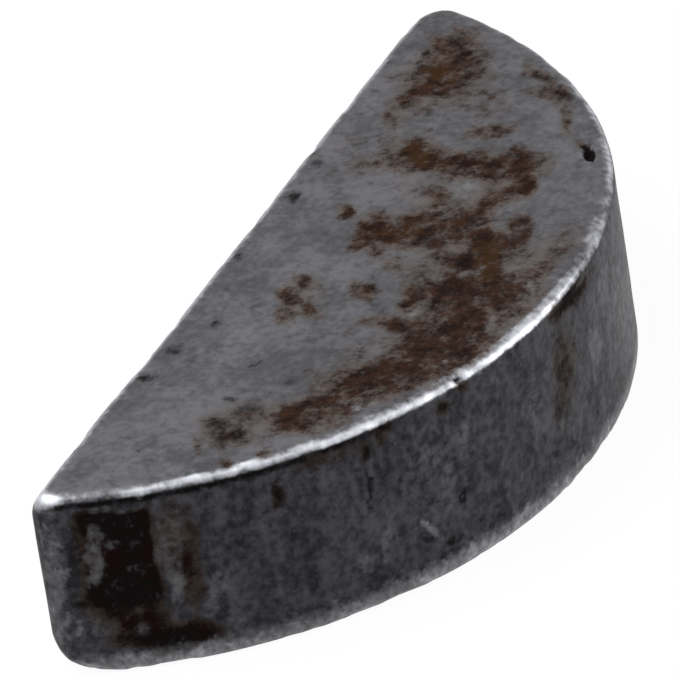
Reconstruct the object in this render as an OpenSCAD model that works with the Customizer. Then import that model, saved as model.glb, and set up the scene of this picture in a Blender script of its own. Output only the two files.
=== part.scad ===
// Half-moon shaft key: a slice of a round disc with one straight face, made from one piece of steel.
// It lies on one of its flat sides. X runs along the straight face, Y across it, and Z is the thickness.

/* [Key] */
// Diameter of the disc that the key is a slice of
disc_d = 10; // [8.5:0.5:14]
// Height from the lowest point of the round face to the straight face
key_h = 3.7; // [2.5:0.1:4.2]
// Thickness between the two flat sides
key_t = 2; // [1.2:0.1:4]

/* [Edges] */
// Radius on the two curved edges, where the round face meets the flat sides
rim_r = 0.2; // [0.1:0.05:0.4]
// Radius on the two long edges of the straight face
straight_edge_r = 0.2; // [0.1:0.05:0.4]
// Radius on the two upright corners, where the round face meets the straight face
end_r = 0.15; // [0.1:0.05:0.4]

/* [Hidden] */

$fn = 180;

disc_r = disc_d / 2;
// How far the shapes that cut the key reach past its faces
past = key_t;
// The straight face and the disc's axis, with the key's height centred on the origin
straight_y = key_h / 2;
axis_y = disc_r - key_h / 2;
// Centre of the round on an upright corner, which touches the straight face and the round face
end_y = straight_y - end_r;
end_x = sqrt((disc_r - end_r) ^ 2 - (axis_y - end_y) ^ 2);
// Direction from the disc's axis to that centre, where the round runs into the round face
end_turn = atan2(end_y - axis_y, end_x);
dark_steel = [0.34, 0.34, 0.37];

// What a round of radius r takes off the upper right corner of a section, with that corner at the origin
module corner_waste(r) {
    translate([-r, -r])
        difference() {
            square(r + past);
            circle(r);
        }
}

// A rectangle from the origin, with both corners of its right-hand side rounded
module rounded_section(width, height, r) {
    difference() {
        square([width, height]);
        translate([width, height])
            corner_waste(r);
        translate([width, 0])
            mirror([0, 1])
                corner_waste(r);
    }
}

// The whole disc, turned with a rounded rim
module disc() {
    translate([0, axis_y, 0])
        rotate_extrude()
            rounded_section(disc_r, key_t, rim_r);
}

// The bar that is left of the disc's width: its one side is the straight face, with rounded edges
module straight_bar() {
    bar_h = key_h + past;
    translate([-disc_r, straight_y - bar_h, 0])
        rotate([90, 0, 90])
            linear_extrude(disc_d)
                rounded_section(bar_h, key_t, straight_edge_r);
}

// What rounding takes off the upright corner at the +X end
module end_waste() {
    reach = end_r + past;
    translate([end_x, end_y, -past])
        linear_extrude(key_t + 2 * past)
            difference() {
                polygon([[0, 0], [0, reach], [reach, reach], reach * [cos(end_turn), sin(end_turn)]]);
                circle(end_r);
            }
}

module half_moon_key() {
    color(dark_steel)
        difference() {
            intersection() {
                disc();
                straight_bar();
            }
            end_waste();
            mirror([1, 0, 0])
                end_waste();
        }
}

half_moon_key();
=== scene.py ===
import math

import bpy
import numpy as np
from mathutils import Matrix, Vector, noise


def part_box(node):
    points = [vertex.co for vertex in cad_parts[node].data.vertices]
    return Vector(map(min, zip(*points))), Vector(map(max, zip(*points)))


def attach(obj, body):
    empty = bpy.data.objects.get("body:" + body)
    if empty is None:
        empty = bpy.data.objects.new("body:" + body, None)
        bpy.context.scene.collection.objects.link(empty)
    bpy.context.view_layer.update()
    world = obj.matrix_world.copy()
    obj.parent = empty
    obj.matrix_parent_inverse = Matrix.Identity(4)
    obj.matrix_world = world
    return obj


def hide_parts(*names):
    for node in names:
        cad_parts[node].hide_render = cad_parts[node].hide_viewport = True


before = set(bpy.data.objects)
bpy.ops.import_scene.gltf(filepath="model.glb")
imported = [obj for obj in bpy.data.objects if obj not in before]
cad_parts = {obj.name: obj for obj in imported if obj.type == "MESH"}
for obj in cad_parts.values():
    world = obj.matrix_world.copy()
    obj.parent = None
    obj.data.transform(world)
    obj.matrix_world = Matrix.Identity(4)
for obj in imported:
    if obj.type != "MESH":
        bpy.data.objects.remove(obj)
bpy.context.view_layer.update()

# Sizes, in millimetres: height and thickness from the frame, the disc's radius as in the CAD model
MM = 0.001
NODE = "half_moon_key"
node_low, node_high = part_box(NODE)
KEY_H = (node_high.y - node_low.y) / MM
KEY_T = (node_high.z - node_low.z) / MM
DISC_R = 5.0
STRAIGHT_Y = KEY_H / 2
AXIS_Y = DISC_R - KEY_H / 2

# Worn edge radii, in millimetres
RIM_R = 0.12
LOWER_RIM_R = 0.07
STRAIGHT_EDGE_R = 0.30
STRAIGHT_NEAR_R = 0.26
STRAIGHT_LOW_R = 0.20
NEAR_END_R = 0.25
FAR_END_R = 0.45
# Where the rims' rounds run over into those of the straight face, by y, and where the straight face's upper
# round grows from its near radius, by x
STRAIGHT_BAND = (1.4, 1.8)
NEAR_BAND = (-3.0, -2.0)
# The lower corner at the near end is worn rounder, and its point is worn off square to CORNER_OUT
BLUNT_X, BLUNT_Y, BLUNT_REACH = -4.7, 1.7, 0.6
BLUNT_R = 0.24
CORNER_OUT = np.array([-0.64, 0.57, -0.51])
CORNER_REACH = 3.90
CORNER_R = 0.10

# Mesh: the even rounds that it starts from, and the number of faces along each stretch
START_EDGE_R = 0.2
START_END_R = 0.25
ALONG = 270
ACROSS = 72
ROUND_ROWS = 10
WALL_ROWS = 44

# Pit near the far end of the upper side, in millimetres and degrees
PIT_X, PIT_Y = 2.23, -1.07
PIT_LENGTH, PIT_WIDTH, PIT_DEPTH = 0.15, 0.07, 0.07
PIT_TURN = 30
# Its floor rises between these shares of its length and width, and only this near the upper side
PIT_FADE = (0.2, 1.2)
PIT_SKIN = 0.05
# Height of its dirt and painted shade, which covers its whole floor
PIT_SHADE_H = 3 * PIT_DEPTH
# Round this reach the mesh is drawn in towards the pit, for finer faces there
PIT_GATHER_REACH, PIT_GATHER = 0.60, 0.25

# Nick in the bright upper rim
NICK_X, NICK_Y, NICK_Z = -1.89, -1.44, 1.965
NICK_REACH, NICK_DEPTH = 0.09, 0.07

# Patches on the upper side: middle x and y, half length, half width, turn in degrees, strength
UPPER_RUST = (
    # Far end
    (3.30, 1.00, 0.42, 0.28, 15, 0.85),
    (3.85, 1.05, 0.40, 0.24, 30, 0.8),
    (3.30, 0.95, 0.80, 0.45, 20, 0.3),
    (2.80, 1.15, 0.22, 0.12, 0, 0.45),
    (2.50, 1.15, 0.15, 0.10, 35, 0.4),
    (3.45, 0.60, 0.16, 0.12, 35, 0.35),
    (3.00, 0.30, 0.40, 0.28, 45, 0.25),
    (3.25, -0.30, 0.24, 0.10, 35, 0.7),
    (2.75, -0.62, 0.28, 0.08, 25, 0.55),
    (3.60, 0.05, 0.28, 0.09, 45, 0.6),
    (3.25, -0.12, 0.18, 0.10, 70, 0.45),
    (2.31, -0.95, 0.07, 0.04, 60, 0.8),
    (2.00, 1.20, 0.70, 0.40, 0, 0.15),
    # Band across the far half
    (2.45, 0.05, 0.24, 0.12, -70, 0.75),
    (1.90, 0.65, 0.30, 0.22, 35, 0.9),
    (1.85, 0.30, 0.30, 0.20, 75, 0.85),
    (1.80, -0.15, 0.36, 0.24, 75, 0.8),
    (1.65, 0.95, 0.28, 0.16, -65, 0.35),
    (2.00, -0.45, 0.26, 0.15, 30, 1.0),
    (1.95, -0.75, 0.24, 0.08, 25, 0.35),
    (1.60, -0.65, 0.28, 0.12, 25, 0.85),
    (1.35, -0.55, 0.15, 0.12, 5, 0.75),
    (1.10, -0.45, 0.25, 0.10, 15, 0.85),
    (1.20, 0.10, 0.16, 0.10, 30, 0.7),
    (1.00, 0.10, 0.10, 0.06, -45, 0.6),
    # Middle
    (0.75, 0.90, 0.16, 0.10, 30, 0.75),
    (0.50, 0.50, 0.30, 0.14, 20, 0.9),
    (0.50, 0.15, 0.42, 0.26, -80, 0.95),
    (0.80, 0.05, 0.22, 0.12, -70, 0.55),
    (0.15, 0.50, 0.15, 0.10, -15, 0.7),
    (0.45, -0.25, 0.20, 0.14, 35, 0.5),
    (0.85, -0.30, 0.22, 0.15, 85, 0.9),
    (0.60, -0.55, 0.20, 0.16, 50, 1.0),
    (0.50, -0.95, 0.26, 0.18, 20, 0.95),
    (0.85, -0.95, 0.18, 0.08, 25, 0.75),
    (0.10, -0.90, 0.50, 0.15, 25, 0.9),
    (0.10, -0.65, 0.22, 0.14, 30, 1.0),
    (-0.10, 0.00, 0.20, 0.10, 50, 0.4),
    (0.10, 0.25, 0.08, 0.06, 40, 0.5),
    (-0.60, 0.12, 0.20, 0.12, 50, 0.9),
    (-0.40, -0.80, 0.30, 0.20, -80, 1.0),
    (-0.35, -1.25, 0.30, 0.18, 30, 0.6),
    (-0.55, -0.40, 0.16, 0.10, 35, 0.85),
    (-0.80, -0.40, 0.12, 0.10, 45, 0.85),
    (-0.80, -1.05, 0.30, 0.22, 40, 0.8),
    (-0.10, -0.65, 1.70, 0.60, 25, 0.3),
    (-0.30, -0.80, 0.60, 0.40, 25, 0.4),
    (1.60, -0.10, 0.50, 0.60, 30, 0.2),
    # Near half
    (-1.15, -0.45, 0.22, 0.12, 70, 0.9),
    (-1.10, -0.15, 0.16, 0.08, 85, 0.5),
    (-1.35, -0.80, 0.24, 0.14, 30, 0.75),
    (-1.40, -1.15, 0.40, 0.25, 15, 0.75),
    (-1.20, -0.95, 0.55, 0.40, 15, 0.5),
    (-1.95, -0.70, 0.30, 0.20, -60, 1.0),
    (-1.75, -0.80, 0.35, 0.22, -40, 0.6),
    (-2.20, -0.50, 0.22, 0.16, 10, 0.85),
    (-2.25, -0.80, 0.24, 0.14, -60, 0.6),
    (-2.00, -1.10, 0.26, 0.14, -25, 0.5),
    (-2.30, -0.30, 0.20, 0.20, 0, 0.4),
    (-1.95, -0.65, 0.90, 0.60, -35, 0.3),
    (-2.10, -0.75, 0.45, 0.30, -40, 0.5),
    (-2.70, -0.40, 0.50, 0.25, -35, 0.35),
    (-2.95, -0.15, 0.26, 0.20, 40, 0.95),
    (-2.70, -0.25, 0.18, 0.18, 0, 0.9),
    (-2.60, -0.55, 0.26, 0.16, -50, 0.5),
    (-3.00, -0.50, 0.24, 0.14, -35, 0.4),
    (-0.85, 0.80, 0.16, 0.11, 40, 0.8),
    (-0.55, 0.75, 0.14, 0.10, 35, 0.7),
    (-1.15, 0.70, 0.14, 0.10, 30, 0.8),
    (-1.10, 0.45, 0.12, 0.09, 80, 0.6),
    (-0.90, 0.65, 0.40, 0.22, 35, 0.3),
    # Between the near half's rust and the rim
    (-0.35, -1.45, 0.55, 0.22, 5, 0.55),
    (0.45, -1.45, 0.50, 0.25, -5, 0.35),
    (-1.30, -1.35, 0.60, 0.22, 15, 0.5),
    # Near end
    (-3.15, 0.30, 0.42, 0.36, 0, 0.30),
    (-2.90, 0.35, 0.28, 0.20, 20, 0.15),
    (-3.35, 0.30, 0.30, 0.20, 15, 0.15),
    (-3.20, 0.55, 0.18, 0.10, 35, 0.2),
    (-3.35, 0.25, 0.16, 0.12, 70, 0.3),
    (-3.85, 0.10, 0.12, 0.07, 55, 0.8),
    (-3.60, -0.15, 0.06, 0.05, 50, 0.6),
    (-3.60, 0.55, 0.14, 0.05, 25, 0.45),
)
UPPER_OCHRE = (
    (3.50, 1.05, 0.32, 0.18, 25, 0.8),
    (1.90, 0.60, 0.22, 0.14, 35, 0.8),
    (2.00, -0.45, 0.16, 0.08, 25, 0.5),
    (1.10, -0.45, 0.15, 0.06, 20, 0.5),
    (0.85, -0.30, 0.12, 0.10, 45, 0.5),
    (0.50, 0.20, 0.28, 0.15, -85, 0.7),
    (0.40, -0.80, 0.22, 0.18, 65, 0.5),
    (0.05, -0.90, 0.38, 0.12, 25, 0.9),
    (-0.60, 0.10, 0.10, 0.08, 55, 0.6),
    (-1.95, -0.80, 0.20, 0.14, -60, 0.4),
    (-2.90, -0.15, 0.15, 0.11, 40, 0.2),
    (-3.85, 0.10, 0.09, 0.06, 55, 0.8),
)
UPPER_GRIME = (
    (3.20, -0.40, 0.16, 0.08, 50, 0.6),
    (2.70, -0.65, 0.18, 0.05, 25, 0.45),
    (3.55, 0.00, 0.20, 0.05, 45, 0.6),
    (2.30, -0.98, 0.06, 0.04, 60, 0.9),
    (3.20, -0.05, 0.08, 0.06, 90, 0.45),
    (3.55, 1.55, 0.12, 0.08, 85, 0.4),
    (2.95, 1.50, 0.08, 0.06, 40, 0.4),
    (2.05, -0.40, 0.18, 0.12, 35, 0.4),
    (1.20, -1.30, 0.10, 0.06, 30, 0.35),
    (0.10, -0.65, 0.16, 0.10, 35, 0.7),
    (-0.40, -0.85, 0.22, 0.14, -85, 0.5),
    (-0.80, -0.40, 0.08, 0.06, 50, 0.6),
    (-1.15, -0.50, 0.16, 0.08, 75, 0.6),
    (-1.35, -0.70, 0.15, 0.08, 30, 0.4),
    (-2.25, -0.60, 0.14, 0.11, -35, 0.4),
    (-2.65, -0.20, 0.10, 0.08, -55, 0.5),
    (-3.35, 0.25, 0.16, 0.11, 70, 0.65),
    (-3.20, 0.55, 0.18, 0.11, 35, 0.5),
    (-2.90, 0.30, 0.28, 0.20, 20, 0.35),
    (-3.20, 0.35, 0.42, 0.30, 15, 0.25),
    (-2.70, 0.60, 0.07, 0.05, 90, 0.7),
    (-2.35, 0.10, 0.10, 0.06, 90, 0.6),
    (-2.05, 0.60, 0.10, 0.05, -25, 0.8),
    (-2.50, 1.55, 0.12, 0.07, -75, 0.8),
    (-1.95, 1.50, 0.12, 0.08, 30, 0.7),
    (-1.45, 1.25, 0.08, 0.06, 35, 0.8),
    (-0.20, 1.60, 0.10, 0.07, 0, 0.8),
    (0.90, 1.50, 0.12, 0.07, 15, 0.9),
    (1.55, 1.55, 0.12, 0.07, 10, 0.8),
)
UPPER_PALE = (
    (2.00, -1.16, 0.07, 0.05, 45, 0.6),
    (2.16, -0.99, 0.06, 0.03, 25, 0.6),
    (2.45, 0.75, 0.18, 0.14, 65, 0.4),
    (-1.90, 0.95, 0.70, 0.35, 0, 0.45),
    (1.40, -0.10, 0.22, 0.14, 35, 0.7),
    (1.10, -0.65, 0.12, 0.08, 35, 0.4),
    (-0.10, -0.75, 0.16, 0.07, 80, 0.4),
    (-0.25, -1.50, 0.22, 0.08, 25, 0.5),
    (-0.85, -0.50, 0.14, 0.09, 90, 0.6),
    (-0.95, -1.40, 0.24, 0.08, 15, 0.5),
    (-2.60, -0.70, 0.09, 0.05, 30, 0.8),
)

# Patches on the round face: middle along the face and height, half length, half height, turn in degrees,
# strength
FACE_RUST = (
    # The tail under the block at the near end and the stain beside it
    (-5.35, 0.35, 0.50, 0.15, -5, 0.95),
    (-5.30, 0.33, 0.42, 0.12, -5, 0.9),
    (-5.55, 0.55, 0.26, 0.16, 0, 0.9),
    (-5.15, 1.25, 0.22, 0.50, -5, 0.4),
    (-5.00, 1.00, 0.10, 0.60, -5, 0.5),
    # Spots under the rim
    (-4.10, 1.60, 0.07, 0.18, -10, 0.5),
    (-3.50, 1.80, 0.40, 0.09, 0, 0.4),
    (-3.15, 1.70, 0.08, 0.12, 0, 0.5),
    (-2.90, 1.85, 0.12, 0.08, -15, 0.8),
    (-2.95, 1.75, 0.07, 0.10, 0, 0.6),
    (-2.20, 1.75, 0.10, 0.10, 0, 0.5),
    (-1.95, 1.90, 0.10, 0.08, -40, 0.7),
    # Far part of the face
    (-0.10, 1.84, 0.50, 0.12, -7, 0.8),
    (-0.42, 1.22, 0.26, 0.58, -20, 0.4),
)
FACE_GRIME = (
    (-5.70, 1.65, 0.30, 0.20, -10, 0.9),
    (-5.50, 1.45, 0.16, 0.36, -10, 0.8),
    (-5.65, 0.90, 0.36, 0.28, -10, 1.0),
    (-6.10, 1.40, 0.08, 0.40, -10, 0.6),
    (-6.10, 0.80, 0.10, 0.07, -5, 0.8),
    (-5.40, 0.30, 0.42, 0.10, -5, 0.9),
    (-5.00, 0.15, 0.08, 0.08, 0, 0.7),
    (-5.00, 0.35, 0.28, 0.09, -15, 0.45),
    (-6.05, 0.45, 0.04, 0.28, -15, 0.4),
    (-4.10, 1.60, 0.05, 0.15, -10, 0.9),
    (-4.20, 1.45, 0.05, 0.04, 0, 0.6),
    (-4.00, 1.65, 0.06, 0.04, 0, 0.6),
    (-4.45, 0.75, 0.09, 0.46, -10, 0.35),
    (-3.15, 1.70, 0.06, 0.10, 0, 0.9),
    (-3.17, 1.30, 0.035, 0.35, 0, 0.8),
    (-2.90, 1.85, 0.09, 0.05, -15, 0.9),
    (-2.70, 1.65, 0.12, 0.08, -35, 0.45),
    (-2.20, 1.75, 0.07, 0.07, 0, 0.9),
    (-2.52, 0.87, 0.11, 0.05, -15, 0.8),
    (-2.13, 0.72, 0.07, 0.15, -25, 0.9),
    (-2.60, 0.47, 0.10, 0.05, -30, 0.85),
    (-2.28, 0.35, 0.15, 0.06, -15, 0.75),
    (-2.85, 0.25, 0.13, 0.08, -35, 0.35),
    (-1.85, 0.35, 0.30, 0.07, -15, 0.6),
    (-0.80, 0.47, 0.14, 0.05, -30, 0.5),
    (-0.47, 0.46, 0.14, 0.07, -15, 0.55),
    (-0.50, 1.22, 0.14, 0.60, -20, 0.6),
    (-0.10, 1.84, 0.45, 0.09, -7, 0.9),
    (0.50, 1.20, 0.30, 0.10, -30, 0.35),
)
FACE_PALE = (
    (-5.87, 1.52, 0.07, 0.14, -10, 0.7),
    (-5.92, 1.32, 0.11, 0.15, 15, 0.75),
    (-5.95, 1.15, 0.09, 0.14, -20, 0.75),
    (-5.72, 1.42, 0.11, 0.04, -25, 0.4),
    (-5.50, 1.15, 0.16, 0.08, -10, 0.3),
    (-5.45, 1.45, 0.10, 0.06, 10, 0.2),
    (-5.75, 0.90, 0.12, 0.05, -15, 0.2),
    (-5.58, 0.47, 0.12, 0.08, 30, 0.55),
    (-5.75, 1.80, 0.26, 0.04, 0, 0.5),
    (-5.17, 1.30, 0.15, 0.48, -5, 0.5),
    (-5.20, 0.80, 0.10, 0.20, -5, 0.8),
    (-4.85, 0.70, 0.08, 0.28, -10, 0.7),
    (-4.70, 0.85, 0.08, 0.15, -5, 0.5),
    (-4.65, 0.40, 0.15, 0.10, -45, 0.5),
    (-5.95, 0.50, 0.09, 0.18, -10, 0.4),
    (-6.35, 1.00, 0.14, 0.95, -5, 0.8),
    (-3.05, 0.70, 0.08, 0.22, -10, 0.75),
    (-3.30, 0.55, 0.08, 0.12, 0, 0.7),
    (-2.02, 1.38, 0.08, 0.20, -20, 0.8),
    (-0.60, 0.65, 0.08, 0.09, 0, 0.6),
    (-2.40, 1.15, 0.40, 0.60, 0, 0.4),
    (1.30, 1.00, 0.80, 0.90, 0, 0.45),
    (0.65, 1.50, 0.22, 0.20, 0, 0.5),
    (0.30, 1.05, 0.28, 0.22, 40, 0.5),
    (0.20, 1.05, 0.16, 0.40, -15, 0.5),
    (-1.00, 1.20, 0.16, 0.32, -15, 0.4),
)

# Dark block of rust at the near end of the round face: its sides along the face, its foot and its top
BLOCK_LEFT, BLOCK_RIGHT = -6.03, -5.34
BLOCK_LOW, BLOCK_HIGH = 0.70, 1.78
# How far these fade: loose on the left and at the foot, sharp on the right and at the top
BLOCK_LEFT_FADE, BLOCK_RIGHT_FADE, BLOCK_TOP_FADE = 0.16, 0.04, 0.06
BLOCK_FOOT_BELOW, BLOCK_FOOT_ABOVE = 0.25, 0.20
# How strongly rust and grime cover it, and its share of the warp that patches have
BLOCK_RUST, BLOCK_GRIME = 1.35, 0.2
BLOCK_WARP = 0.5

# Fine scratch on the round face: both ends, as place along the face and height
SCRATCH = ((-2.68, 0.74), (-2.50, 0.49))
SCRATCH_WIDTH = 0.035
SCRATCH_END_FADE = 0.05
SCRATCH_PALE, SCRATCH_BRIGHT = 1.2, 0.15

# Wear, and painted shade and floor light. A pair of numbers says where a change starts and where it is
# complete.
# Tilt is the upward part of the surface's normal: 1 faces up, 0 sideways and -1 down. Lengths are in
# millimetres.

# Shares of a patch's half sizes between which its cover fades
UPPER_FADE = (0.2, 1.7)
FACE_FADE = (0.3, 1.5)
# How far noise warps the patches, and the size of its lumps
WARP, WARP_SIZE = 0.06, 0.30
# What counts as the upper side, as the round face, as either flat side, and as the underside
UPPER_TILT = (0.75, 0.95)
WALL_TILT = (0.4, 0.8)
FLAT_TILT = (0.5, 0.9)
UNDERSIDE_TILT = -0.9
# Distance from the disc's axis from which a point belongs to the round face and its rims
ARC_RADIUS = (DISC_R - 0.45, DISC_R - 0.30)

# Dark line under the upper rim: how far below the upper side it starts and ends, how strong it is, and where
# along the face it fades and by how much
LINE_START, LINE_END = (0.05, 0.09), (0.12, 0.20)
LINE_DARK = 0.95
LINE_FADE, LINE_FADED = (-3.6, -2.4), 0.7
# Painted shade on the nick's ground, darkest where it is deepest, by the share of its depth
NICK_PAINTED_SHADE, NICK_SHADE_SHARE = 0.9, (0.3, 0.7)
# Painted floor light: the round face's lower edge made pale, strongest at the foot, by height
LOWER_FLOOR_LIGHT, LOWER_FLOOR_LIGHT_Z = 1.3, (0.04, 0.32)

# Bright upper rim: the tilts between which it lies, how far noise moves them, and how far down it reaches
RIM_TILT_LOW, RIM_TILT_HIGH = (0.15, 0.55), (0.82, 0.98)
RIM_UNEVEN = 0.10
RIM_DROP = (0.08, 0.12)
# Its strength, how uneven that is, and the shares that it loses past the middle and near the far end, by x
RIM_BRIGHT, RIM_PATCHY = 0.80, 0.25
RIM_PAST_MIDDLE, RIM_MIDDLE_LOSS = (0.0, 0.25), 0.45
RIM_FAR, RIM_FAR_LOSS = (0.9, 2.0), 0.55
# Its shoulder on the upper side: where it starts and where it grows, by x, with its strength and its growth,
# then the fade of its inner edge, how uneven that is, and the least tilt
SHOULDER_START, SHOULDER_GROWS = (-4.2, -2.6), (-1.6, -0.8)
SHOULDER_BRIGHT, SHOULDER_GROWTH = 0.45, 0.30
SHOULDER_FADE, SHOULDER_UNEVEN, SHOULDER_TILT = 0.04, 0.02, 0.8
# The dimmer stretch above the block: where along the face it starts, eases and ends, what it takes from the
# rim, and the share of that which ends where it eases
DIM_START, DIM_EASE, DIM_END = (-6.2, -6.05), (-5.6, -5.4), (-4.5, -4.1)
DIM_LOSS, DIM_EASED = 0.45, 0.75

# Other bright edges. The straight and the far upper edge: strength, the turn from level at which it is full,
# the tilts over which it fades downward, and where it starts, by y and by x
EDGE_BRIGHT, EDGE_TURN, EDGE_TILT = 0.6, 0.35, (0.1, 0.6)
EDGE_FROM_Y, EDGE_FROM_X = (1.3, 1.6), (1.0, 2.0)
# The lower rim, bare metal as a painted reflection of the floor: strength at the bottom, and what it loses
# with each millimetre of height
LOWER_FLOOR_GLINT, LOWER_FLOOR_GLINT_FALL = 0.42, 1.3
# The near end: strength, where it ends, by x, and the most tilt
END_BRIGHT, END_X, END_TILT = 0.15, (-4.77, -4.66), 0.5

# How far the surface stands back: everywhere, under rust, under grime and painted shade, and in dents along
# the edges
SURFACE_BACK, SURFACE_WAVES = 0.006, 0.006
RUST_BACK, RUST_PITTING = 0.006, 0.010
GRIME_BACK = 0.006
DENTS, DENT_TILT_LOW, DENT_TILT_HIGH = 0.03, (0.15, 0.5), (0.85, 0.98)

# Layered noise: how fast the layers weaken, how much finer each one is, and the shift from seed to seed
LAYER_FALL, LAYER_STEP = 1.0, 2.0
SEED_STEP = (7.3, 3.1, 5.7)

# Colours of the surface, as shares of the light
STEEL_DARK = (0.055, 0.054, 0.058)
STEEL_LIGHT = (0.115, 0.114, 0.125)
STEEL_PALE = (0.140, 0.140, 0.145)
STEEL_BROWN = (0.088, 0.071, 0.061)
# The round face's colours: darker copies of the upper side's, partly a darker oxide and partly painted shade
WALL_SHADED_DARK = (0.014, 0.014, 0.016)
WALL_SHADED_LIGHT = (0.058, 0.057, 0.066)
WALL_SHADED_PALE = (0.090, 0.089, 0.094)
WALL_SHADED_BROWN = (0.034, 0.026, 0.021)
RUST_DARK = (0.009, 0.005, 0.004)
RUST_BROWN = (0.027, 0.0135, 0.009)
RUST_OCHRE = (0.027, 0.013, 0.006)
# Rust on the round face, near black: partly painted shade
RUST_SHADED_BLACK = (0.006, 0.002, 0.002)
# Black of grime, also of the painted shade in the nick and the pit
GRIME_AND_SHADE_BLACK = (0.004, 0.003, 0.003)
BARE_METAL = (0.52, 0.53, 0.57)
# How much of the brown veil round the rust shows on the upper side
VEIL_SHARE = 0.8
# Sheen: the steel's metallic share, its roughness in dark and in light places, that of rust, grime and
# painted shade, what bare metal takes off the roughness, and the specular level of what isn't metallic
STEEL_METALLIC = 0.6
STEEL_ROUGH_DARK, STEEL_ROUGH_LIGHT = 0.42, 0.55
DULL_ROUGH = 0.8
BRIGHT_SMOOTHER = 0.05
SPECULAR_LEVEL = 0.02
# Fine grain: strength and height
BUMP_STRENGTH, BUMP_HEIGHT = 0.4, 0.01

# Stage: the floor's width in metres, its grey, and the share of it that shows as plain white; then the
# strength of the white surroundings as light on the key and as they are seen
FLOOR_WIDTH = 2.0
FLOOR_GREY = 0.9
FLOOR_WHITE_SHARE = 0.95
WORLD_LIGHT, WORLD_SEEN = 0.30, 1.0
# Lamps: place, aim and size in millimetres, power in watts
SOFTBOX = {"place": (-15, 28, 55), "aim": (0, 0, 0), "size": (60, 60), "power": 0.06}
FILL = {"place": (20, -50, 15), "aim": (0, 0, 1), "size": (40, 30), "power": 0.03}

# Camera, fitted to the outline: the lens in pixels of the 680-pixel frame, angles in degrees
FRAME_PX = 680
LENS_PX = 16000
CAM_AZIMUTH = -61.94
CAM_ELEVATION = 30.13
CAM_ROLL = -8.96
CAM_DISTANCE = 156.2
SENSOR_WIDTH = 36.0
# Nearest and farthest that it sees, in metres
CAM_CLIP = (0.001, 10.0)
# Where the camera aims, in millimetres right of and above the disc's axis in the picture
AIM_RIGHT = 2.035
AIM_UP = 0.63


def smooth(start, end, value):
    """From 0 at start to 1 at end, level at both."""
    u = np.clip((value - start) / (end - start), 0.0, 1.0)
    return u * u * (3.0 - 2.0 * u)


def lumps(p, size, octaves, seed):
    """Layered noise about zero at each point, with lumps about that many millimetres across."""
    shift = Vector([seed * step for step in SEED_STEP])
    return np.array([noise.fractal(Vector(q) / size + shift, LAYER_FALL, LAYER_STEP, octaves) for q in p])


# Shape of the key

def edge_radii(p):
    """Upper edge, lower edge and upright end radius near each point."""
    x, y = p[:, 0], p[:, 1]
    straight = smooth(*STRAIGHT_BAND, y)
    blunt = 1.0 - smooth(0.0, BLUNT_REACH, np.hypot(x - BLUNT_X, y - BLUNT_Y))
    straight_r = STRAIGHT_NEAR_R + (STRAIGHT_EDGE_R - STRAIGHT_NEAR_R) * smooth(*NEAR_BAND, x)
    upper = RIM_R + (straight_r - RIM_R) * straight
    lower = LOWER_RIM_R + (STRAIGHT_LOW_R - LOWER_RIM_R) * straight
    lower = lower + (BLUNT_R - lower) * blunt
    end = np.where(x > 0.0, FAR_END_R, NEAR_END_R)
    return upper, lower, end


def rounded_meet(a, b, r):
    """Distance to where two faces meet in a round of radius r, from the distances to each."""
    u = np.maximum(a + r, 0.0)
    v = np.maximum(b + r, 0.0)
    return np.minimum(np.maximum(a, b), -r) + np.hypot(u, v)


def key_distance(p):
    """Signed distance to the key's worn surface, negative inside."""
    upper, lower, end = edge_radii(p)
    round_face = np.hypot(p[:, 0], p[:, 1] - AXIS_Y) - DISC_R
    plan = rounded_meet(round_face, p[:, 1] - STRAIGHT_Y, end)
    above = rounded_meet(plan, p[:, 2] - KEY_T, upper)
    below = rounded_meet(plan, -p[:, 2], lower)
    return rounded_meet(np.maximum(above, below), p @ CORNER_OUT - CORNER_REACH, CORNER_R)


def slope(p, step=1e-4):
    """How fast the distance to the surface grows along each axis."""
    g = np.empty_like(p)
    for axis in range(3):
        shift = np.zeros(3)
        shift[axis] = step
        g[:, axis] = (key_distance(p + shift) - key_distance(p - shift)) / (2 * step)
    return g


def onto_surface(p, rounds=6, least=1e-6):
    """Moves the points along the slope until they lie on the worn surface."""
    for _ in range(rounds):
        g = slope(p)
        p = p - (key_distance(p) / np.maximum((g * g).sum(1), least))[:, None] * g
    return p


def outline(inset):
    """The key's outline moved in by inset: straight face, -X end, round face, +X end."""
    end_y = STRAIGHT_Y - START_END_R
    end_x = math.sqrt((DISC_R - START_END_R) ** 2 - (AXIS_Y - end_y) ** 2)
    turn = math.atan2(end_y - AXIS_Y, end_x)
    end_r = START_END_R - inset
    along = np.linspace(0.0, 1.0, ALONG, endpoint=False)
    across = np.linspace(0.0, 1.0, ACROSS, endpoint=False)

    def arc(cx, cy, r, start, stop, steps):
        a = start + (stop - start) * steps
        return np.column_stack([cx + r * np.cos(a), cy + r * np.sin(a)])

    straight = np.column_stack([end_x * (1 - 2 * along), np.full(ALONG, STRAIGHT_Y - inset)])
    left = arc(-end_x, end_y, end_r, math.pi / 2, math.pi - turn, across)
    round_face = arc(0, AXIS_Y, DISC_R - inset, math.pi - turn, 2 * math.pi + turn, along)
    right = arc(end_x, end_y, end_r, turn, math.pi / 2, across)
    return np.vstack([straight, left, round_face, right])


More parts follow.
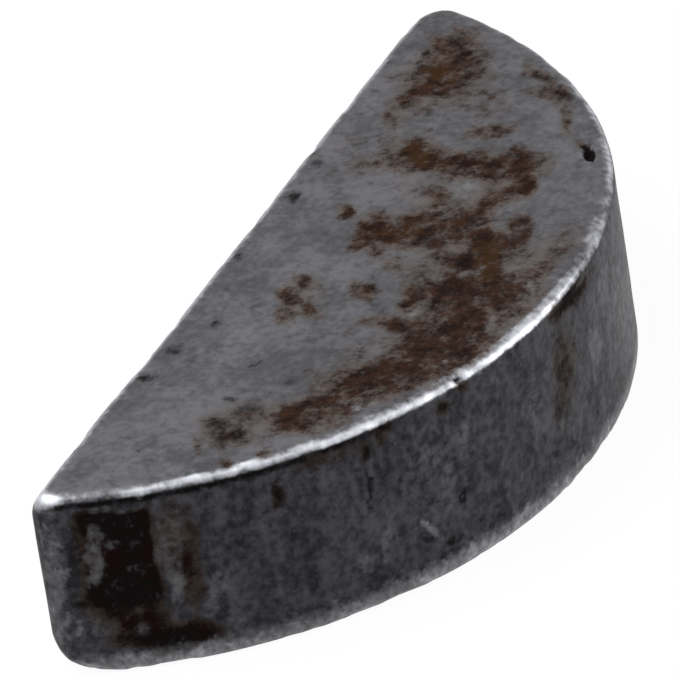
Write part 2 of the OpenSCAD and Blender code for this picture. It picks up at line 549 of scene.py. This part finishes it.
def side_patch(loop):
    """Fills the outline of a flat side with a grid of points, one column per step along the key."""
    straight = np.vstack([loop[:ALONG], loop[ALONG:ALONG + 1]])
    left = loop[ALONG:ALONG + ACROSS + 1]
    first = ALONG + ACROSS
    round_face = loop[first:first + ALONG + 1][::-1]
    right = np.vstack([loop[first + ALONG:], loop[:1]])[::-1]
    u = np.linspace(0.0, 1.0, ALONG + 1)[:, None, None]
    v = np.linspace(0.0, 1.0, ACROSS + 1)[None, :, None]
    sides = (1 - v) * straight[:, None] + v * round_face[:, None]
    ends = (1 - u) * right[None] + u * left[None]
    near_straight = (1 - u) * straight[0] + u * straight[-1]
    near_round = (1 - u) * round_face[0] + u * round_face[-1]
    return sides + ends - (1 - v) * near_straight - v * near_round


def loop_numbers(grid):
    """The numbers of a grid's border points, in the order that outline() gives them."""
    return np.concatenate([grid[:-1, 0], grid[-1, :-1], grid[:0:-1, -1], grid[0, :0:-1]])


def gathered(flat):
    """Draws the points round the pit in towards it."""
    away = flat - np.array([PIT_X, PIT_Y])
    share = np.clip(np.hypot(away[:, 0], away[:, 1]) / PIT_GATHER_REACH, 0.0, 1.0)
    scale = PIT_GATHER + (1.0 - PIT_GATHER) * share ** 2
    return np.array([PIT_X, PIT_Y]) + away * scale[:, None]


def ring_rows():
    """Inset and height of each ring of points, from the upper side down to the underside."""
    turns = np.linspace(0.0, math.pi / 2, ROUND_ROWS + 1)
    upper = []
    for turn in turns:
        inset = START_EDGE_R * (1 - math.sin(turn))
        upper.append((inset, KEY_T - START_EDGE_R * (1 - math.cos(turn))))
    heights = np.linspace(upper[-1][1], START_EDGE_R, WALL_ROWS + 1)[1:-1]
    wall = [(0.0, z) for z in heights]
    lower = [(inset, KEY_T - z) for inset, z in upper[::-1]]
    return upper + wall + lower


def quads(grid):
    """Faces between the points of a grid."""
    corners = [grid[:-1, :-1], grid[1:, :-1], grid[1:, 1:], grid[:-1, 1:]]
    return np.stack(corners, -1).reshape(-1, 4)


def key_points():
    """Points and faces of the key, as one closed surface."""
    grid_size = (ALONG + 1) * (ACROSS + 1)
    ring_size = 2 * (ALONG + ACROSS)
    grid = np.arange(grid_size).reshape(ALONG + 1, ACROSS + 1)
    flat = side_patch(outline(START_EDGE_R)).reshape(-1, 2)
    points = [np.column_stack([gathered(flat), np.full(grid_size, KEY_T)])]
    rings = [loop_numbers(grid)]
    count = grid_size
    for inset, z in ring_rows()[1:-1]:
        points.append(np.column_stack([outline(inset), np.full(ring_size, z)]))
        rings.append(np.arange(count, count + ring_size))
        count += ring_size
    under = grid + count
    points.append(np.column_stack([flat, np.zeros(grid_size)]))
    rings.append(loop_numbers(under))

    faces = [quads(grid), quads(under)[:, ::-1]]
    for upper, lower in zip(rings[:-1], rings[1:]):
        after = np.roll(upper, -1)
        below = np.roll(lower, -1)
        faces.append(np.column_stack([upper, lower, below, after]))
    return np.vstack(points), np.vstack(faces)


# Wear, with painted shade and painted floor light: what covers the surface, and how far the surface stands
# back there

def covered(u, v, patches, fade):
    """How strongly the patches cover each place."""
    bare = np.ones_like(u)
    for middle_u, middle_v, half_u, half_v, turn, strength in patches:
        c, s = math.cos(math.radians(turn)), math.sin(math.radians(turn))
        across = ((u - middle_u) * c + (v - middle_v) * s) / half_u
        upward = ((v - middle_v) * c - (u - middle_u) * s) / half_v
        away = np.sqrt(across ** 2 + upward ** 2)
        bare = bare * (1.0 - strength * (1.0 - smooth(*fade, away)))
    return 1.0 - bare


def block_share(u, v):
    """1 in the block of rust, with a sharp edge on its right and loose ones on its left and below."""
    sides = smooth(BLOCK_LEFT - BLOCK_LEFT_FADE, BLOCK_LEFT + BLOCK_LEFT_FADE, u)
    sides = sides * (1.0 - smooth(BLOCK_RIGHT - BLOCK_RIGHT_FADE, BLOCK_RIGHT + BLOCK_RIGHT_FADE, u))
    foot = smooth(BLOCK_LOW - BLOCK_FOOT_BELOW, BLOCK_LOW + BLOCK_FOOT_ABOVE, v)
    top = 1.0 - smooth(BLOCK_HIGH - BLOCK_TOP_FADE, BLOCK_HIGH + BLOCK_TOP_FADE, v)
    return sides * foot * top


def scratch_share(u, v):
    """1 on the scratch, 0 beside it and past its ends."""
    (u0, v0), (u1, v1) = SCRATCH
    length = math.hypot(u1 - u0, v1 - v0)
    along = ((u - u0) * (u1 - u0) + (v - v0) * (v1 - v0)) / length
    beside = ((u - u0) * (v1 - v0) - (v - v0) * (u1 - u0)) / length
    begun = smooth(-SCRATCH_END_FADE, SCRATCH_END_FADE, along)
    within = begun * (1.0 - smooth(length - SCRATCH_END_FADE, length + SCRATCH_END_FADE, along))
    return within * (1.0 - smooth(*FACE_FADE, np.abs(beside) / SCRATCH_WIDTH))


def pit_share(p):
    """1 in the middle of the pit, 0 at its edge and outside."""
    c, s = math.cos(math.radians(PIT_TURN)), math.sin(math.radians(PIT_TURN))
    dx, dy = p[:, 0] - PIT_X, p[:, 1] - PIT_Y
    away = np.hypot((dx * c + dy * s) / PIT_LENGTH, (dy * c - dx * s) / PIT_WIDTH)
    return (1.0 - smooth(*PIT_FADE, away)) * (p[:, 2] > KEY_T - PIT_SKIN)


def nick_share(p):
    """1 in the middle of the nick, 0 at its edge and outside."""
    away = np.hypot(np.hypot(p[:, 0] - NICK_X, p[:, 1] - NICK_Y), p[:, 2] - NICK_Z)
    return 1.0 - smooth(0.0, NICK_REACH, away)


def dark_line(p, along, near_arc):
    """The dark line just under the upper rim, from the near end to the middle."""
    drop = KEY_T - p[:, 2]
    line = smooth(*LINE_START, drop) * (1.0 - smooth(*LINE_END, drop))
    return LINE_DARK * line * near_arc * (1.0 - LINE_FADED * smooth(*LINE_FADE, along))


def bright_rim(p, tilt, along, radius, near_arc):
    """The upper rim, worn to bare metal from the near corner to past the middle, of uneven width."""
    x = p[:, 0]
    uneven = tilt + RIM_UNEVEN * lumps(p, size=0.5, octaves=3, seed=6.0)
    rim = smooth(*RIM_TILT_LOW, uneven) * (1.0 - smooth(*RIM_TILT_HIGH, uneven))
    rim = rim * near_arc * (1.0 - smooth(*RIM_DROP, KEY_T - p[:, 2]))
    inset = DISC_R - radius + SHOULDER_UNEVEN * lumps(p, size=0.3, octaves=2, seed=8.0)
    shoulder = SHOULDER_BRIGHT + SHOULDER_GROWTH * smooth(*SHOULDER_GROWS, x)
    shoulder = shoulder * (1.0 - smooth(RIM_R - SHOULDER_FADE, RIM_R + SHOULDER_FADE, inset))
    shoulder = shoulder * (tilt > SHOULDER_TILT)
    rim = np.maximum(rim, shoulder * smooth(*SHOULDER_START, x))
    reach = 1.0 - RIM_MIDDLE_LOSS * smooth(*RIM_PAST_MIDDLE, x) - RIM_FAR_LOSS * smooth(*RIM_FAR, x)
    left = 1.0 - DIM_EASED * smooth(*DIM_EASE, along) - (1.0 - DIM_EASED) * smooth(*DIM_END, along)
    dim = smooth(*DIM_START, along) * left
    bright = (RIM_BRIGHT + RIM_PATCHY * lumps(p, size=0.30, octaves=3, seed=7.0)) * rim * reach
    return bright * (1.0 - DIM_LOSS * dim) * (1.0 - nick_share(p))


def worn_and_floor_lit_edges(p, tilt, near_arc):
    """The other edges: the straight and the far upper edge and the near end, worn a little, and the lower
    rim, a painted reflection of the floor.
    """
    x, y, z = p.T
    turned = np.sqrt(np.clip((1.0 - tilt) / EDGE_TURN, 0.0, 1.0))
    upper_edge = EDGE_BRIGHT * turned * smooth(*EDGE_TILT, tilt)
    upper_edge = upper_edge * np.maximum(smooth(*EDGE_FROM_Y, y), smooth(*EDGE_FROM_X, x))
    # Painted reflection of the floor: the lower rim made bare metal, fading with height
    lower_floor_glint = np.clip(LOWER_FLOOR_GLINT - LOWER_FLOOR_GLINT_FALL * z, 0.0, 1.0) * near_arc
    lower_floor_glint = lower_floor_glint * (tilt > UNDERSIDE_TILT)
    near_end = END_BRIGHT * (1.0 - smooth(*END_X, x)) * (np.abs(tilt) < END_TILT)
    return np.maximum.reduce([upper_edge, lower_floor_glint, near_end])


def wear(p, normal):
    """The cover of each kind on the surface, as one number per point and kind."""
    warp_u = WARP * lumps(p, size=WARP_SIZE, octaves=4, seed=1.0)
    warp_v = WARP * lumps(p, size=WARP_SIZE, octaves=4, seed=2.0)
    x, y, z = p[:, 0] + warp_u, p[:, 1] + warp_v, p[:, 2] + warp_v
    even_along = DISC_R * np.arctan2(p[:, 0], AXIS_Y - p[:, 1])
    along = even_along + warp_u
    tilt = normal[:, 2]
    radius = np.hypot(p[:, 0], p[:, 1] - AXIS_Y)
    near_arc = smooth(*ARC_RADIUS, radius)
    upper = smooth(*UPPER_TILT, tilt)
    wall = (1.0 - smooth(*WALL_TILT, np.abs(tilt))) * near_arc
    block = block_share(even_along + BLOCK_WARP * warp_u, z) * wall
    scratch = scratch_share(even_along, p[:, 2]) * wall

    def patches(on_upper, on_face):
        upper_cover = covered(x, y, on_upper, UPPER_FADE) * upper
        return upper_cover + covered(along, z, on_face, FACE_FADE) * wall

    rust = np.maximum(patches(UPPER_RUST, FACE_RUST), BLOCK_RUST * block)
    ochre = covered(x, y, UPPER_OCHRE, UPPER_FADE) * upper
    grime_and_shade = np.maximum(patches(UPPER_GRIME, FACE_GRIME), BLOCK_GRIME * block)
    # A darker line under the upper rim, drawn in the same black
    grime_and_shade = np.maximum(grime_and_shade, dark_line(p, along, near_arc))
    # Painted shade in the nick, darker with its depth, drawn with the grime
    grime_and_shade = np.maximum(grime_and_shade, NICK_PAINTED_SHADE * smooth(*NICK_SHADE_SHARE, nick_share(p)))
    pale_and_floor_light = np.maximum(patches(UPPER_PALE, FACE_PALE), SCRATCH_PALE * scratch)
    # Painted floor light: the round face paler near its foot, fading with height
    floor_light_band = LOWER_FLOOR_LIGHT * (1.0 - smooth(*LOWER_FLOOR_LIGHT_Z, p[:, 2])) * near_arc
    pale_and_floor_light = np.maximum(pale_and_floor_light, floor_light_band * (tilt > UNDERSIDE_TILT))
    bright = np.maximum(bright_rim(p, tilt, along, radius, near_arc), worn_and_floor_lit_edges(p, tilt, near_arc))
    bright = np.maximum(bright, SCRATCH_BRIGHT * scratch)
    flat = smooth(*FLAT_TILT, np.abs(tilt))
    return {"rust": rust, "ochre": ochre, "grime_and_shade": grime_and_shade, "pale_and_floor_light": pale_and_floor_light, "bright": bright, "flat": flat}


def stand_back(p, normal, cover):
    """How far the worn surface lies under the even one, in millimetres."""
    tilt = np.abs(normal[:, 2])
    edge = smooth(*DENT_TILT_LOW, tilt) * (1.0 - smooth(*DENT_TILT_HIGH, tilt))
    back = SURFACE_BACK + SURFACE_WAVES * lumps(p, size=0.9, octaves=3, seed=3.0)
    pitting = RUST_BACK + RUST_PITTING * lumps(p, size=0.12, octaves=2, seed=4.0)
    back = back + np.clip(cover["rust"], 0, 1) * pitting
    back = back + np.clip(cover["grime_and_shade"], 0, 1) * GRIME_BACK
    back = back + edge * DENTS * np.maximum(lumps(p, size=0.4, octaves=3, seed=5.0), 0.0)
    back = back + NICK_DEPTH * nick_share(p)
    back = back + PIT_DEPTH * pit_share(p)
    return np.maximum(back, 0.0)


def make_key():
    points, faces = key_points()
    points = onto_surface(points)
    normal = slope(points)
    normal = normal / np.linalg.norm(normal, axis=1)[:, None]
    cover = wear(points, normal)
    points = points - normal * stand_back(points, normal, cover)[:, None]
    points = np.clip(points, np.array(node_low) / MM, np.array(node_high) / MM)
    mesh = bpy.data.meshes.new("half_moon_key_worn")
    mesh.from_pydata((points * MM).tolist(), [], faces.tolist())
    for name, values in cover.items():
        attribute = mesh.attributes.new(name, "FLOAT", "POINT")
        attribute.data.foreach_set("value", values.astype(np.float32))
    mesh.validate()
    mesh.update()
    mesh.shade_smooth()
    key = bpy.data.objects.new("half_moon_key_worn", mesh)
    bpy.context.collection.objects.link(key)
    return key


# Materials

class Paint:
    """One material: short calls that add a node, link its inputs and return its output."""

    # The mix node's sockets for colours
    MIX_FIRST, MIX_SECOND, MIX_RESULT = 6, 7, 2

    def __init__(self, name):
        self.material = bpy.data.materials.new(name)
        self.material.use_nodes = True
        self.nodes = self.material.node_tree.nodes
        self.links = self.material.node_tree.links
        self.shader = self.nodes["Principled BSDF"]

    def put(self, socket, value):
        if isinstance(value, bpy.types.NodeSocket):
            self.links.new(value, socket)
        else:
            socket.default_value = value

    def math(self, operation, a, b):
        node = self.nodes.new("ShaderNodeMath")
        node.operation = operation
        self.put(node.inputs[0], a)
        self.put(node.inputs[1], b)
        return node.outputs[0]

    def ramp(self, value, low, high, start=0.0, end=1.0):
        """From start to end as the value goes from low to high."""
        node = self.nodes.new("ShaderNodeMapRange")
        node.interpolation_type = "SMOOTHSTEP"
        for socket, item in zip(node.inputs, (value, low, high, start, end)):
            self.put(socket, item)
        return node.outputs["Result"]

    def mix(self, share, first, second):
        """The share of the second colour, and the rest of the first."""
        node = self.nodes.new("ShaderNodeMix")
        node.data_type = "RGBA"
        self.put(node.inputs["Factor"], share)
        for number, item in ((self.MIX_FIRST, first), (self.MIX_SECOND, second)):
            colour = item if isinstance(item, bpy.types.NodeSocket) else (*item, 1.0)
            self.put(node.inputs[number], colour)
        return node.outputs[self.MIX_RESULT]

    def place(self, stretch=(1, 1, 1), shift=(0, 0, 0)):
        """Places on the object, stretched along its axes and moved, so that two noises differ."""
        coords = self.nodes.new("ShaderNodeTexCoord")
        node = self.nodes.new("ShaderNodeVectorMath")
        node.operation = "MULTIPLY_ADD"
        self.links.new(coords.outputs["Object"], node.inputs[0])
        node.inputs[1].default_value = stretch
        node.inputs[2].default_value = shift
        return node.outputs["Vector"]

    def noise(self, place, size, detail, rough):
        """Noise from 0 to 1 with lumps about that many millimetres across."""
        node = self.nodes.new("ShaderNodeTexNoise")
        self.links.new(place, node.inputs["Vector"])
        node.inputs["Scale"].default_value = 1.0 / (size * MM)
        node.inputs["Detail"].default_value = detail
        node.inputs["Roughness"].default_value = rough
        return node.outputs["Fac"]

    def blend(self, first, second, share):
        """The share of the second value, and the rest of the first."""
        part = self.math("MULTIPLY", second, share)
        rest = self.math("MULTIPLY", first, 1.0 - share)
        return self.math("ADD", part, rest)

    def oval(self, middle, half, turn):
        """How far each place lies from the middle of an oval: 1 on its edge."""
        coords = self.nodes.new("ShaderNodeTexCoord")
        inward = self.nodes.new("ShaderNodeMapping")
        inward.vector_type = "TEXTURE"
        inward.inputs["Location"].default_value = Vector(middle) * MM
        inward.inputs["Rotation"].default_value = (0, 0, math.radians(turn))
        inward.inputs["Scale"].default_value = Vector(half) * MM
        away = self.nodes.new("ShaderNodeVectorMath")
        away.operation = "LENGTH"
        self.links.new(coords.outputs["Object"], inward.inputs["Vector"])
        self.links.new(inward.outputs["Vector"], away.inputs[0])
        return away.outputs["Value"]

    def cover(self, name):
        """A cover that wear() gives, by its name."""
        node = self.nodes.new("ShaderNodeAttribute")
        node.attribute_name = name
        return node.outputs["Fac"]

    def ragged(self, cover, grain, spread, low, high):
        """A cover whose edge breaks up with the grain."""
        centred = self.math("SUBTRACT", grain, 0.5)
        shift = self.math("MULTIPLY", centred, spread)
        return self.ramp(self.math("ADD", cover, shift), low, high)


def steel_material():
    paint = Paint("dark_steel")
    flat = paint.cover("flat")

    # Noises, each with its own size of lumps in millimetres
    place = paint.place()
    aside = paint.place(shift=(0.05, 0.02, 0.03))
    upright = paint.place(stretch=(1.0, 1.0, 0.4))
    grain = paint.noise(place, size=0.07, detail=2.0, rough=0.5)
    grit = paint.noise(place, size=0.24, detail=3.0, rough=0.65)
    streak = paint.noise(place, size=0.09, detail=2.0, rough=0.6)
    flake = paint.noise(place, size=0.20, detail=4.0, rough=0.75)
    tone = paint.noise(aside, size=0.20, detail=4.0, rough=0.75)
    stain = paint.noise(aside, size=0.10, detail=3.0, rough=0.6)
    broad = paint.noise(aside, size=0.9, detail=3.0, rough=0.6)
    smear = paint.noise(upright, size=0.25, detail=3.0, rough=0.6)
    speckle = paint.blend(grain, grit, share=0.5)
    mottle = paint.blend(speckle, broad, share=0.4)
    blotch = paint.blend(paint.blend(streak, smear, share=0.45), broad, share=0.25)

    # Plain steel of the flat sides and of the round face, with a brown veil round the rust. The round face
    # is darker, partly for its darker oxide and partly as painted shade
    veil = paint.ragged(paint.cover("rust"), broad, spread=0.8, low=0.0, high=0.6)
    upper = paint.mix(paint.ramp(mottle, low=0.37, high=0.63), STEEL_DARK, STEEL_LIGHT)
    upper = paint.mix(paint.math("MULTIPLY", veil, VEIL_SHARE), upper, STEEL_BROWN)
    wall = paint.mix(paint.ramp(blotch, low=0.37, high=0.67), WALL_SHADED_DARK, WALL_SHADED_LIGHT)
    wall = paint.mix(veil, wall, WALL_SHADED_BROWN)
    colour = paint.mix(flat, wall, upper)

    # Rust, brown on the flat sides and near black on the round face, which is partly painted shade
    rust = paint.ragged(paint.cover("rust"), flake, spread=2.6, low=0.0, high=1.0)
    ochre = paint.ragged(paint.cover("ochre"), stain, spread=1.4, low=0.10, high=0.9)
    brown = paint.mix(paint.ramp(tone, low=0.38, high=0.62), RUST_DARK, RUST_BROWN)
    brown = paint.mix(ochre, brown, RUST_OCHRE)
    brown = paint.mix(flat, RUST_SHADED_BLACK, brown)
    colour = paint.mix(rust, colour, brown)

    # Grime and painted shade, and the pit's dirt and painted shade
    grime_and_shade = paint.ragged(paint.cover("grime_and_shade"), speckle, spread=2.2, low=0.15, high=1.0)
    pit_away = paint.oval((PIT_X, PIT_Y, KEY_T), (PIT_LENGTH, PIT_WIDTH, PIT_SHADE_H), PIT_TURN)
    pit_edge = paint.blend(pit_away, stain, share=0.3)
    # Dirt and painted shade in the pit, near black over its floor
    pit = paint.ramp(pit_edge, low=0.68, high=0.92, start=1.0, end=0.0)
    grime_and_shade = paint.math("MAXIMUM", grime_and_shade, pit)
    colour = paint.mix(grime_and_shade, colour, GRIME_AND_SHADE_BLACK)

    # Places worn pale, with the painted floor light at the round face's foot, and edges worn to bare metal,
    # with the lower rim's painted reflection of the floor
    scuff = paint.blend(stain, streak, share=0.5)
    pale_and_floor_light = paint.ragged(paint.cover("pale_and_floor_light"), scuff, spread=1.9, low=0.15, high=1.2)
    colour = paint.mix(pale_and_floor_light, colour, paint.mix(flat, WALL_SHADED_PALE, STEEL_PALE))
    bright = paint.ragged(paint.cover("bright"), speckle, spread=1.2, low=0.10, high=1.0)
    colour = paint.mix(bright, colour, BARE_METAL)
    paint.put(paint.shader.inputs["Base Color"], colour)

    # Sheen: rust, grime and painted shade are dull
    dull = paint.math("MAXIMUM", rust, grime_and_shade)
    metal = paint.ramp(dull, low=0.0, high=0.8, start=STEEL_METALLIC, end=0.0)
    paint.put(paint.shader.inputs["Metallic"], paint.math("MAXIMUM", metal, bright))
    rough = paint.ramp(mottle, low=0.40, high=0.60, start=STEEL_ROUGH_DARK, end=STEEL_ROUGH_LIGHT)
    rough = paint.math("MAXIMUM", rough, paint.math("MULTIPLY", dull, DULL_ROUGH))
    rough = paint.math("SUBTRACT", rough, paint.math("MULTIPLY", bright, BRIGHT_SMOOTHER))
    paint.put(paint.shader.inputs["Roughness"], rough)
    paint.shader.inputs["Specular IOR Level"].default_value = SPECULAR_LEVEL

    bump = paint.nodes.new("ShaderNodeBump")
    bump.inputs["Strength"].default_value = BUMP_STRENGTH
    bump.inputs["Distance"].default_value = BUMP_HEIGHT * MM
    paint.put(bump.inputs["Height"], speckle)
    paint.put(paint.shader.inputs["Normal"], bump.outputs["Normal"])
    return paint.material


def seen_share(tree):
    """1 for what is seen, straight, through glass or in metal, and 0 for the light that falls on the key."""
    path = tree.nodes.new("ShaderNodeLightPath")
    straight = tree.nodes.new("ShaderNodeMath")
    straight.operation = "MAXIMUM"
    seen = tree.nodes.new("ShaderNodeMath")
    seen.operation = "MAXIMUM"
    tree.links.new(path.outputs["Is Camera Ray"], straight.inputs[0])
    tree.links.new(path.outputs["Is Transmission Ray"], straight.inputs[1])
    tree.links.new(straight.outputs[0], seen.inputs[0])
    tree.links.new(path.outputs["Is Glossy Ray"], seen.inputs[1])
    return seen.outputs[0]


def floor_material():
    """White where it is seen, with a little of the key's shadow left."""
    mat = bpy.data.materials.new("floor_white")
    mat.use_nodes = True
    nodes, links = mat.node_tree.nodes, mat.node_tree.links
    nodes.clear()
    out = nodes.new("ShaderNodeOutputMaterial")
    mix = nodes.new("ShaderNodeMixShader")
    diffuse = nodes.new("ShaderNodeBsdfDiffuse")
    diffuse.inputs["Color"].default_value = (FLOOR_GREY, FLOOR_GREY, FLOOR_GREY, 1)
    glow = nodes.new("ShaderNodeEmission")
    glow.inputs["Strength"].default_value = 1.0
    share = nodes.new("ShaderNodeMath")
    share.operation = "MULTIPLY"
    share.inputs[1].default_value = FLOOR_WHITE_SHARE
    links.new(seen_share(mat.node_tree), share.inputs[0])
    links.new(share.outputs[0], mix.inputs["Fac"])
    links.new(diffuse.outputs[0], mix.inputs[1])
    links.new(glow.outputs[0], mix.inputs[2])
    links.new(mix.outputs[0], out.inputs["Surface"])
    return mat


# Stage

def make_floor():
    bpy.ops.mesh.primitive_plane_add(size=FLOOR_WIDTH, location=(0, 0, 0))
    floor = bpy.context.object
    floor.name = "floor"
    floor.data.materials.append(floor_material())


def make_world():
    world = bpy.data.worlds.new("studio")
    bpy.context.scene.world = world
    world.use_nodes = True
    nodes, links = world.node_tree.nodes, world.node_tree.links
    background = nodes["Background"]
    background.inputs["Color"].default_value = (1, 1, 1, 1)
    level = nodes.new("ShaderNodeMapRange")
    level.inputs["To Min"].default_value = WORLD_LIGHT
    level.inputs["To Max"].default_value = WORLD_SEEN
    links.new(seen_share(world.node_tree), level.inputs["Value"])
    links.new(level.outputs["Result"], background.inputs["Strength"])


def make_light(name, place, aim, size, power):
    data = bpy.data.lights.new(name, "AREA")
    data.shape = "RECTANGLE"
    data.size, data.size_y = size[0] * MM, size[1] * MM
    data.energy = power
    lamp = bpy.data.objects.new(name, data)
    bpy.context.collection.objects.link(lamp)
    lamp.location = Vector(place) * MM
    toward = (Vector(aim) - Vector(place)).normalized()
    lamp.rotation_euler = toward.to_track_quat("-Z", "Y").to_euler()


def make_camera():
    az, el, roll = (math.radians(a) for a in (CAM_AZIMUTH, CAM_ELEVATION, CAM_ROLL))
    back = Vector((math.sin(az) * math.cos(el), -math.cos(az) * math.cos(el), math.sin(el)))
    level_right = Vector((math.cos(az), math.sin(az), 0))
    level_up = back.cross(level_right)
    right = level_right * math.cos(roll) + level_up * math.sin(roll)
    up = level_up * math.cos(roll) - level_right * math.sin(roll)
    place = Vector((0, AXIS_Y, 0)) + right * AIM_RIGHT + up * AIM_UP + back * CAM_DISTANCE
    data = bpy.data.cameras.new("camera")
    data.sensor_width = SENSOR_WIDTH
    data.lens = data.sensor_width * LENS_PX / FRAME_PX
    data.clip_start, data.clip_end = CAM_CLIP
    camera = bpy.data.objects.new("camera", data)
    bpy.context.collection.objects.link(camera)
    turn = Matrix((right, up, back)).transposed().to_4x4()
    camera.matrix_world = Matrix.Translation(place * MM) @ turn
    bpy.context.scene.camera = camera


key = make_key()
key.data.materials.append(steel_material())
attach(key, "root")
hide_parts(NODE)

make_floor()
make_world()
make_light("softbox", **SOFTBOX)
make_light("fill", **FILL)
make_camera()
bpy.context.scene.view_settings.view_transform = "Standard"
